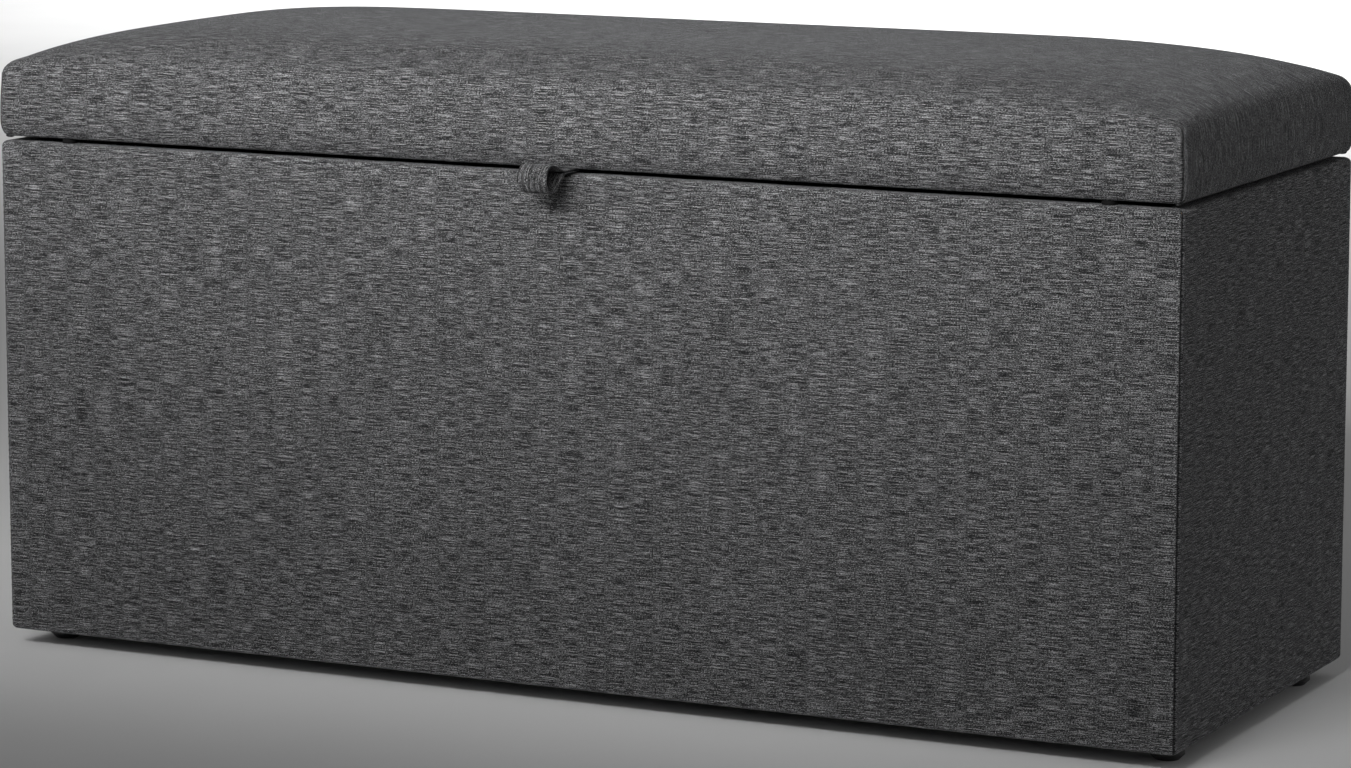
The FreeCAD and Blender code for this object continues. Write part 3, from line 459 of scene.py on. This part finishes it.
def tack_row(name, starts, ends, radius, body, slot):
    """Short stitches or staples, each a rounded bar between two points."""
    ring, bands = 6, 5
    leaning = (0.3, 0.2, 0.93)
    points = []
    faces = []
    for start, end in zip(starts, ends):
        start, end = np.array(start, float), np.array(end, float)
        run = end - start
        run_unit = run / np.linalg.norm(run)
        side = np.cross(run_unit, leaning)
        side /= np.linalg.norm(side)
        up = np.cross(side, run_unit)
        first = len(points)
        for band in range(bands + 1):
            part = band / bands
            width = radius * math.sqrt(max(1 - (2 * part - 1) ** 6, 0.12))
            for k in range(ring):
                angle = 2 * math.pi * k / ring
                points.append(start + run * part + width * (math.cos(angle) * side + math.sin(angle) * up))
        for band in range(bands):
            for k in range(ring):
                here = first + band * ring + k
                beside = first + band * ring + (k + 1) % ring
                faces.append((here, beside, beside + ring, here + ring))
        faces.append(tuple(first + k for k in range(ring))[::-1])
        faces.append(tuple(first + bands * ring + k for k in range(ring)))
    layout = np.array([(points[v][0] * 3 + points[v][1] * 3, points[v][2]) for f in faces for v in f])
    marks = np.zeros((len(points), 2))
    piece = mesh_piece(name, points, faces, slot, layout, marks)
    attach(piece, body)


def corner_stitches():
    """Small stitches that hold each vertical seam of the case, on its end side."""
    pitch = 5.5 * MM
    heights = np.arange(FOOT + 8 * MM, RIM - 6 * MM, pitch)
    for side, sign in (("left", -1), ("right", 1)):
        for face, y, inward in (("front", FRONT, 1), ("back", BACK, -1)):
            starts = [(sign * (END - 1.5 * MM), y + inward * 1.0 * MM, z) for z in heights]
            ends = [(sign * (END - 0.15 * MM), y + inward * 3.4 * MM, z + 0.5 * MM) for z in heights]
            tack_row(f"seam_stitches_{face}_{side}", starts, ends, 0.28 * MM, "case", "charcoal_weave")


corner_stitches()


# ---- linings and dust cover ---------------------------------------------------------------------
def lining_sheet(name, across, up, body, slot, held):
    """A thin sheet in a CAD lining's place: across and up are the axes it lies along."""
    step = 12 * MM
    low, high = (np.array(corner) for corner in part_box(name))
    size = high - low
    thin = 3 - across - up
    columns = np.linspace(low[across], high[across], max(3, round(size[across] / step)))
    rows = np.linspace(low[up], high[up], max(3, round(size[up] / step)))
    u, v = np.meshgrid(columns, rows)
    edge = np.minimum(np.minimum(u - low[across], high[across] - u),
                      np.minimum(v - low[up], high[up] - v))
    body_middle = MIDDLE if thin == 1 else 0.0
    inner = low[thin] if abs(low[thin] - body_middle) < abs(high[thin] - body_middle) else high[thin]
    inward = 1.0 if inner == high[thin] else -1.0
    if thin == 2:
        inner, inward = (high[2], 1.0) if held == "laid" else (low[2], -1.0)
    quilt = ripple(u, (0.12 * MM, 0.151, 0.3), (0.07 * MM, 0.067, 2.0))
    quilt = quilt + ripple(v, (0.12 * MM, 0.127, 1.3), (0.06 * MM, 0.053, 0.2))
    rounding = 0.35 * MM * np.exp(-edge / (2 * MM))
    points = np.zeros(u.shape + (3,))
    points[..., across] = u
    points[..., up] = v
    points[..., thin] = inner + inward * (-0.2 * MM - rounding + quilt * (edge > 6 * MM))
    faces_in = np.cross(np.eye(3)[across], np.eye(3)[up])[thin]
    if faces_in * inward > 0:
        points = points[::-1]
    layout = np.stack([points[..., across], points[..., up]], -1)
    marks = np.stack([np.zeros_like(u), np.exp(-edge / (4 * MM))], -1)
    piece = grid_piece(name + "_cloth", points, layout, slot, marks)
    thicken(piece, max(0.6 * MM, size[thin] * 0.6))
    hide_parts(name)
    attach(piece, body)


X_AXIS, Y_AXIS, Z_AXIS = 0, 1, 2
for side, axis in (("front", X_AXIS), ("back", X_AXIS), ("left", Y_AXIS), ("right", Y_AXIS)):
    lining_sheet(f"lining_{side}", axis, Z_AXIS, "case", "black_lining", "stretched")
lining_sheet("floor_lining", X_AXIS, Y_AXIS, "case", "black_lining", "laid")
lining_sheet("dust_cover", X_AXIS, Y_AXIS, "case", "dust_cloth", "stretched")
lining_sheet("lid_lining", X_AXIS, Y_AXIS, "lid", "black_lining", "stretched")


def staples(name, node, inset, pitch, body):
    """Wire staples round the edge of a sheet on an underside."""
    low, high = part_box(node)
    reach = 4.5 * MM
    under = low.z - 0.15 * MM
    starts = []
    ends = []
    for x in np.arange(low.x + pitch, high.x - pitch / 2, pitch):
        for y in (low.y + inset, high.y - inset):
            starts.append((x - reach, y, under))
            ends.append((x + reach, y, under))
    for y in np.arange(low.y + pitch, high.y - pitch / 2, pitch):
        for x in (low.x + inset, high.x - inset):
            starts.append((x, y - reach, under))
            ends.append((x, y + reach, under))
    tack_row(name, starts, ends, 0.35 * MM, body, "screw_steel")


staples("dust_cover_staples", "dust_cover", 6 * MM, 50 * MM, "case")
staples("lid_lining_staples", "lid_lining", 5 * MM, 55 * MM, "lid")


# ---- the lid ------------------------------------------------------------------------------------
# heights are above the lid's lower edge; each arch has the two powers that shape it
SHOULDER = 59 * MM
SHOULDER_RADIUS = 9 * MM
WALL = SHOULDER - SHOULDER_RADIUS
RISE = CROWN - LID_LOW - SHOULDER - 1.5 * MM
LENGTH_ARCH = (8.0, 0.85)
DEPTH_ARCH = (5.0, 0.8)
SIDE_LEVELS = spread(WALL, (8 * MM, 6 * MM))[1:]
EDGE_RADIUS = 5 * MM
PLAN_RADIUS = 4 * MM
HEM_IN = 30 * MM
# rings further in than this lie under the lid, and shrink towards its middle
TURNED_UNDER = 9 * MM


def arch(place, half, powers):
    """How far up a dome is, from 0 at an edge to 1 along the middle."""
    return np.clip(1 - (np.abs(place) / half) ** powers[0], 0, None) ** powers[1]


def shoulder(place, half):
    """How far round the shoulder's curve a place is, from 0 at the wall to 1 at its inner side."""
    share = np.clip((half - np.abs(place)) / SHOULDER_RADIUS, 0, 1)
    return np.sqrt(1 - (1 - share) ** 2)


def even_places(half, rise, powers, step):
    """Places from -half to half, evenly spaced along the curve that the cloth follows there."""
    place = half * np.sin(np.linspace(0, math.pi / 2, 4000))
    height = rise * arch(place, half, powers) + SHOULDER_RADIUS * shoulder(place, half)
    run = np.concatenate([[0], np.cumsum(np.hypot(np.diff(place), np.diff(height)))])
    marks = np.linspace(0, run[-1], max(4, round(run[-1] / step)) + 1)
    places = np.interp(marks, run, place)
    places[-1] = half
    return np.concatenate([-places[:0:-1], places]), np.concatenate([-marks[:0:-1], marks])


def round_plan(x, y, half_x, half_y, radius):
    """Round a rectangle's upright corners: points in a corner's square move onto its quarter disc."""
    u = np.clip((np.abs(x) - half_x + radius) / radius, 0, 1)
    v = np.clip((np.abs(y) - half_y + radius) / radius, 0, 1)
    new_x = np.where(u > 0, half_x - radius + radius * u * np.sqrt(1 - v * v / 2), np.abs(x))
    new_y = np.where(v > 0, half_y - radius + radius * v * np.sqrt(1 - u * u / 2), np.abs(y))
    return np.sign(x) * new_x, np.sign(y) * new_y


def lid_rings():
    """The rings below the lid's shoulder: a slight bulge, a rounded lower edge and the hem."""
    bulge, widest, fading = 1.8 * MM, 14 * MM, 32 * MM
    rings = [(bulge * (1 - ((level - widest) / fading) ** 2), level) for level in SIDE_LEVELS]
    for turn in np.radians(np.linspace(0, 90, 6)[1:]):
        rings.append((-EDGE_RADIUS * (1 - math.cos(turn)), EDGE_RADIUS * (1 - math.sin(turn)) - 0.5 * MM))
    sag = 0.9 * MM
    return rings + [(-14 * MM, -sag), (-22 * MM, -sag), (-HEM_IN, 0.1 * MM)]


def lid_form(inset, step, rings):
    """A padded lid's points: its arched top, then rings down its sides and under it.

    Rings are pairs of a distance outward and a height. Gives the points, the quads, the cloth layout
    at each quad's corners and the ring each point is in, 0 on top.
    """
    half_x, half_y = END - inset, HALF_DEPTH - inset
    rise = RISE - inset
    xs, run_x = even_places(half_x, rise, LENGTH_ARCH, step)
    ys, run_y = even_places(half_y, rise, DEPTH_ARCH, step)
    columns, rows = len(xs), len(ys)
    x, y = np.meshgrid(xs, ys)
    height = WALL + rise * arch(x, half_x, LENGTH_ARCH) * arch(y, half_y, DEPTH_ARCH)
    height += SHOULDER_RADIUS * shoulder(x, half_x) * shoulder(y, half_y)
    round_x, round_y = round_plan(x, y, half_x, half_y, PLAN_RADIUS)
    top = np.stack([round_x, round_y, height], -1)
    edge = [(0, c) for c in range(columns)]
    edge += [(r, columns - 1) for r in range(1, rows)]
    edge += [(rows - 1, c) for c in range(columns - 2, -1, -1)]
    edge += [(r, 0) for r in range(rows - 2, 0, -1)]
    plan = np.array([top[r, c, :2] for r, c in edge])
    sides = np.array([(xs[c], ys[r]) for r, c in edge])
    on_rim = np.abs(np.abs(sides) - (half_x, half_y)) < TINY
    outward = np.where(on_rim, np.sign(sides), 0)
    outward /= np.linalg.norm(outward, axis=1)[:, None]
    points = [top.reshape(-1, 3)]
    ring_of = [np.zeros(rows * columns, int)]
    run = [WALL]
    for number, (out, level) in enumerate(rings, 1):
        place = plan + outward * out
        if -out > TURNED_UNDER:
            halves = np.array([half_x, half_y])
            place = plan * ((halves + out) / halves)
        points.append(np.column_stack([place, np.full(len(edge), level)]))
        ring_of.append(np.full(len(edge), number))
        run.append(WALL - level if -out < TURNED_UNDER else WALL - out)
    points = np.concatenate(points)
    ring_of = np.concatenate(ring_of)
    top_quads = grid_faces(rows, columns)[:, ::-1]
    top_layout = np.stack(np.meshgrid(run_x, run_y), -1).reshape(-1, 2)[top_quads.ravel()]
    quads = [top_quads]
    layouts = [top_layout]
    count = len(edge)
    ring_start = [None] + [rows * columns + k * count for k in range(len(rings))]
    top_rim = np.array([r * columns + c for r, c in edge])
    for k in range(1, len(rings) + 1):
        upper = top_rim if k == 1 else ring_start[k - 1] + np.arange(count)
        lower = ring_start[k] + np.arange(count)
        high_run = 0 if k == 1 else run[k - 1]
        low_run = run[k]
        following = np.roll(np.arange(count), -1)
        quads.append(np.stack([upper[following], upper, lower, lower[following]], -1))
        for here, there in zip(range(count), following):
            middle = (sides[here] + sides[there]) / 2
            on_end = abs(abs(middle[0]) - half_x) < TINY
            lay = []
            for which, fall in ((there, high_run), (here, high_run), (here, low_run), (there, low_run)):
                r, c = edge[which]
                if on_end:
                    lay.append((np.sign(middle[0]) * (run_x[-1] + fall), run_y[r]))
                else:
                    lay.append((run_x[c], np.sign(middle[1]) * (run_y[-1] + fall)))
            layouts.append(np.array(lay))
    quads = np.concatenate(quads)
    layout = np.concatenate([np.reshape(lay, (-1, 2)) for lay in layouts])
    points = points + (0, MIDDLE, LID_LOW)
    return points, quads, layout, ring_of


def close_ends(piece):
    """Fill the open edges of a form, so that it's a solid."""
    form = bmesh.new()
    form.from_mesh(piece.data)
    rim = [edge for edge in form.edges if edge.is_boundary]
    bmesh.ops.holes_fill(form, edges=rim)
    bmesh.ops.triangulate(form, faces=[face for face in form.faces if len(face.verts) > 4])
    form.to_mesh(piece.data)
    form.free()


def padding(name, slot, inset):
    """Foam or wadding under the lid's cloth, down to the foot of its CAD solid."""
    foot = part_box(name)[0].z - LID_LOW
    rings = [(0.0, level) for level in spread(WALL, (foot, 7 * MM))[1:]]
    points, quads, layout, _ = lid_form(inset, 14 * MM, rings)
    above = np.clip(points[:, 2] - LID_LOW - WALL, 0, None)
    points[:, 2] += ripple(points[:, 0], (0.02, 0.09, 0.0)) * above
    piece = mesh_piece(name + "_block", points, quads.tolist(), slot, layout)
    close_ends(piece)
    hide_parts(name)
    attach(piece, "lid")


padding("foam_pad", "foam", 10.5 * MM)
padding("wadding", "wadding", 4.5 * MM)


def swell(piece, pinned, pressure, cap):
    """Blow the cloth out a little from inside. No point is moved in, as the padding would hold it, and no
    point moves more than cap out or a quarter of that along the cloth.
    """
    frames = 20
    start = np.array([v.co for v in piece.data.vertices])
    normals = np.array([v.normal for v in piece.data.vertices])
    held = piece.vertex_groups.new(name="held")
    held.add([int(v) for v in np.flatnonzero(pinned)], 1.0, "REPLACE")
    cloth = piece.modifiers.new("cloth", "CLOTH")
    cloth.settings.quality = 6
    cloth.settings.mass = 0.3
    cloth.settings.tension_stiffness = 30
    cloth.settings.compression_stiffness = 30
    cloth.settings.shear_stiffness = 12
    cloth.settings.bending_stiffness = 1.5
    cloth.settings.use_pressure = True
    cloth.settings.uniform_pressure_force = pressure
    cloth.settings.vertex_group_mass = "held"
    cloth.settings.effector_weights.gravity = 0
    cloth.collision_settings.use_collision = False
    cloth.point_cache.frame_start = 1
    cloth.point_cache.frame_end = frames
    for number in range(1, frames + 1):
        bpy.context.scene.frame_set(number)
    shown = piece.evaluated_get(bpy.context.evaluated_depsgraph_get())
    blown = np.array([v.co for v in shown.data.vertices])
    piece.modifiers.clear()
    piece.vertex_groups.clear()
    bpy.context.scene.frame_set(1)
    move = blown - start
    out = np.sum(move * normals, axis=1, keepdims=True)
    slide = move - out * normals
    slid = np.maximum(np.linalg.norm(slide, axis=1, keepdims=True), TINY)
    slide = slide * np.minimum(1, cap / 4 / slid)
    piece.data.vertices.foreach_set("co", (start + np.clip(out, 0, cap) * normals + slide).ravel())
    piece.data.update()


def lid_cloth():
    """The lid's cover: one cloth over the padding, with a seam and a tuck down each upright corner."""
    points, quads, layout, ring_of = lid_form(0.6 * MM, 6.5 * MM, lid_rings())
    marks = np.zeros((len(points), 2))
    piece = mesh_piece("lid_cover_cloth", points, quads.tolist(), "charcoal_weave", layout, marks)
    swell(piece, ring_of > len(SIDE_LEVELS), 0.4, 2.4 * MM)
    smooth_once(piece)
    spots = np.array([v.co for v in piece.data.vertices])
    x, y, height = spots[:, 0], spots[:, 1] - MIDDLE, spots[:, 2] - LID_LOW
    to_end, to_face = END - np.abs(x), HALF_DEPTH - np.abs(y)
    diagonal = (to_end - to_face) / math.sqrt(2)
    near = np.exp(-(np.hypot(to_end, to_face) / (16 * MM)) ** 2)
    fade = np.clip((SHOULDER + 5 * MM - height) / (12 * MM), 0, 1)
    groove = np.exp(-(diagonal / (1.1 * MM)) ** 2) * near * fade
    tuck = np.exp(-((diagonal + 5 * MM) / (2.6 * MM)) ** 2) * near * fade
    corner_way = np.stack([np.sign(x), np.sign(y)], -1) / math.sqrt(2)
    spots[:, :2] -= corner_way * (1.5 * MM * groove - 0.5 * MM * tuck)[:, None]
    edge_line = np.exp(-((to_face - 3 * MM) / (16 * MM)) ** 2)
    edge_line = edge_line + np.exp(-((to_end - 3 * MM) / (18 * MM)) ** 2)
    uneven = ripple(x, (0.30 * MM, 0.142, 0.6), (0.18 * MM, 0.058, 1.9))
    uneven = uneven + ripple(y, (0.25 * MM, 0.118, 0.2), (0.15 * MM, 0.047, 1.0))
    spots[:, 2] += uneven * np.clip(edge_line, 0, 1) * (height > 30 * MM)
    piece.data.vertices.foreach_set("co", spots.ravel())
    worn = np.exp(-((height - SHOULDER - 3 * MM) / (8 * MM)) ** 2)
    worn = worn * np.exp(-(np.minimum(to_end, to_face) / (7 * MM)) ** 2)
    colours = np.ones((len(spots), 4))
    # the corner seam's groove is darkened: painted shade
    colours[:, 0] = groove
    colours[:, 1] = np.clip(worn + 0.8 * tuck, 0, 1)
    colours[:, 2] = 0
    piece.data.color_attributes["marks"].data.foreach_set("color", colours.ravel())
    piece.data.update()
    thicken(piece, CLOTH)
    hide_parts("lid_cover")
    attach(piece, "lid")


lid_cloth()


# ---- the pull tab -------------------------------------------------------------------------------
def strap_line(centre, loop_radius, ply, tail_end, level):
    """The strap from the side, as depth and height: out at the lid's foot, round the loop and back.

    Gives the line, the distance along the strap of each of its points, and the strap's length.
    """
    join = centre[0] + 1.75 * loop_radius
    straight = join + 8 * MM
    angles = np.radians(np.linspace(62, 298, 26))
    arc = centre + loop_radius * np.stack([np.cos(angles), np.sin(angles)], -1)
    upper = [(tail_end, level + ply / 2), (straight, level + ply / 2), (join, level + 0.62 * ply)]
    lower = [(join, level - 0.62 * ply), (straight, level - ply / 2), (tail_end, level - ply / 2)]
    rough_line = np.concatenate([upper, arc, lower])
    run = np.concatenate([[0], np.cumsum(np.linalg.norm(np.diff(rough_line, axis=0), axis=1))])
    marks = np.arange(0, run[-1], 1.2 * MM)
    line = np.stack([np.interp(marks, run, rough_line[:, k]) for k in (0, 1)], -1)
    for _ in range(6):
        line[1:-1] = (line[:-2] + 2 * line[1:-1] + line[2:]) / 4
    return line, marks, float(run[-1])


def pull_strap():
    """A ribbed strap, doubled into a loop: its ends are fixed under the lid and the loop hangs out."""
    rib_count = 5
    tail_low, tail_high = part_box("pull_tab_tail")
    low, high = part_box("pull_tab")
    half_width = (high.x - low.x) / 2
    ply = (tail_high.z - tail_low.z) / 2
    loop_radius = (high.z - low.z) / 2 - ply / 2
    centre = np.array((low.y + loop_radius + ply / 2, (low.z + high.z) / 2))
    middle_height = (tail_low.z + tail_high.z) / 2
    line, marks, length = strap_line(centre, loop_radius, ply, tail_high.y, middle_height)
    slope = np.gradient(line, axis=0)
    slope /= np.linalg.norm(slope, axis=1)[:, None]
    outward = np.stack([slope[:, 1], -slope[:, 0]], -1)
    tip = len(line) // 2
    if outward[tip] @ (line[tip] - centre) < 0:
        outward = -outward
    across = np.linspace(-1, 1, 61)
    ribs = 0.5 + 0.5 * np.cos(rib_count * 2 * math.pi * (across + 1) / 2 + math.pi)
    edge = np.sqrt(np.clip(1 - np.abs(across) ** 14, 0, 1))
    thickness = ply * 0.92 * (0.58 + 0.42 * ribs) * (0.25 + 0.75 * edge)
    outer = np.concatenate([across, across[::-1]])
    lift = np.concatenate([thickness / 2, -(ply * 0.46 * (0.25 + 0.75 * edge))[::-1]])
    points = np.zeros((len(line), len(outer) + 1, 3))
    ring = np.concatenate([outer, outer[:1]])
    lift = np.concatenate([lift, lift[:1]])
    points[..., 0] = half_width * ring[None, :]
    points[..., 1] = line[:, :1] + outward[:, :1] * lift[None, :]
    points[..., 2] = line[:, 1:] + outward[:, 1:] * lift[None, :]
    around = np.concatenate([[0], np.cumsum(np.hypot(np.diff(ring * half_width), np.diff(lift)))])
    layout = np.stack([marks[:, None] + 0 * around[None, :], 0 * marks[:, None] + around[None, :]], -1)
    # painted shade: darker in the rib hollows and a little over the loop's inner face; the rib tops are
    # marked worn
    hollow = np.concatenate([1 - ribs, 0.3 + 0 * ribs, (1 - ribs)[:1]])
    shade = np.stack([0.55 * hollow ** 2, 0.7 * (1 - hollow)], -1)
    shade = np.tile(shade, (len(line), 1, 1))
    piece = grid_piece("pull_tab_strap", points, layout, "charcoal_weave", shade)
    weld = piece.modifiers.new("weld", "WELD")
    weld.merge_threshold = 0.02 * MM
    apply_modifiers(piece)
    close_ends(piece)
    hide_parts("pull_tab", "pull_tab_tail")
    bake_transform(piece)


pull_strap()


# ---- hardware and boards ------------------------------------------------------------------------
def finish_hardware():
    """Give each CAD solid that stays in view the finish of its slot."""
    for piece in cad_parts.values():
        for place in piece.material_slots:
            if place.material and place.material.name.split(".")[0] in MATERIALS:
                place.material = MATERIALS[place.material.name.split(".")[0]]


finish_hardware()


# ---- floor, light and camera --------------------------------------------------------------------
LENS_LENGTH = 131.7
EYE_PLACE = (1.71533, MIDDLE - 3.44889, FOOT + 0.83540)
EYE_DEGREES = (80.7615, 0, 26.3407)


def studio_floor():
    """A pale floor, wide enough that no view sees its edge."""
    rings, spokes, reach = 24, 96, 40.0
    points = [(0, 0, 0)]
    for ring in range(1, rings + 1):
        radius = reach * (ring / rings) ** 2.2
        for spoke in range(spokes):
            angle = 2 * math.pi * spoke / spokes
            points.append((radius * math.cos(angle), radius * math.sin(angle), 0))
    faces = [(0, 1 + spoke, 1 + (spoke + 1) % spokes) for spoke in range(spokes)]
    for ring in range(rings - 1):
        for spoke in range(spokes):
            here = 1 + ring * spokes + spoke
            beside = 1 + ring * spokes + (spoke + 1) % spokes
            faces.append((here, here + spokes, beside + spokes, beside))
    mesh = bpy.data.meshes.new("studio_floor")
    mesh.from_pydata(points, [], faces)
    floor = bpy.data.objects.new("studio_floor", mesh)
    bpy.context.scene.collection.objects.link(floor)
    paint = Finish("floor_paint", roughness=0.9, specular=0.1)
    tint = paint.ramp(paint.noise(paint.place(), 3.0), (0.3, grey(0.83)), (0.7, grey(0.86)))
    mesh.materials.append(paint.finish(tint))


def soft_light(name, place, target, size, power, spread_angle=180):
    """A rectangular softbox that faces its target, in metres, watts and degrees."""
    lamp = bpy.data.lights.new(name, "AREA")
    lamp.shape = "RECTANGLE"
    lamp.size, lamp.size_y = size
    lamp.energy = power
    lamp.spread = math.radians(spread_angle)
    holder = bpy.data.objects.new(name, lamp)
    bpy.context.scene.collection.objects.link(holder)
    holder.location = place
    way = np.array(target) - np.array(place)
    flat = math.hypot(way[0], way[1])
    holder.rotation_euler = (math.atan2(flat, -way[2]), 0, math.atan2(-way[0], way[1]))
    holder.visible_camera = False


def studio():
    """The floor, a soft light for each side that shows, and the camera."""
    studio_floor()
    world = bpy.data.worlds.new("studio")
    world.use_nodes = True
    sky = world.node_tree.nodes["Background"]
    sky.inputs["Color"].default_value = (1, 1, 1, 1)
    sky.inputs["Strength"].default_value = 0.15
    bpy.context.scene.world = world
    soft_light("key", (-0.12, -1.35, 1.05), (-0.10, FRONT, CROWN + 0.12), (1.6, 0.25), 6.0, 60)
    soft_light("fill", (-1.5, -3.2, 1.6), (0, MIDDLE, RIM), (1.6, 1.2), 12)
    soft_light("side", (3.0, 1.2, 0.8), (END, MIDDLE, 0.25), (1.0, 0.8), 5)
    soft_light("backdrop", (0, 6.5, 4.0), (0, 6.6, 0), (8.0, 4.0), 340, 100)
    bpy.context.scene.view_settings.view_transform = "Standard"
    lens = bpy.data.cameras.new("camera")
    lens.sensor_width = 36
    lens.lens = LENS_LENGTH
    lens.clip_end = 200
    eye = bpy.data.objects.new("camera", lens)
    eye.location = EYE_PLACE
    eye.rotation_euler = [math.radians(turn) for turn in EYE_DEGREES]
    bpy.context.scene.collection.objects.link(eye)
    bpy.context.scene.camera = eye


studio()
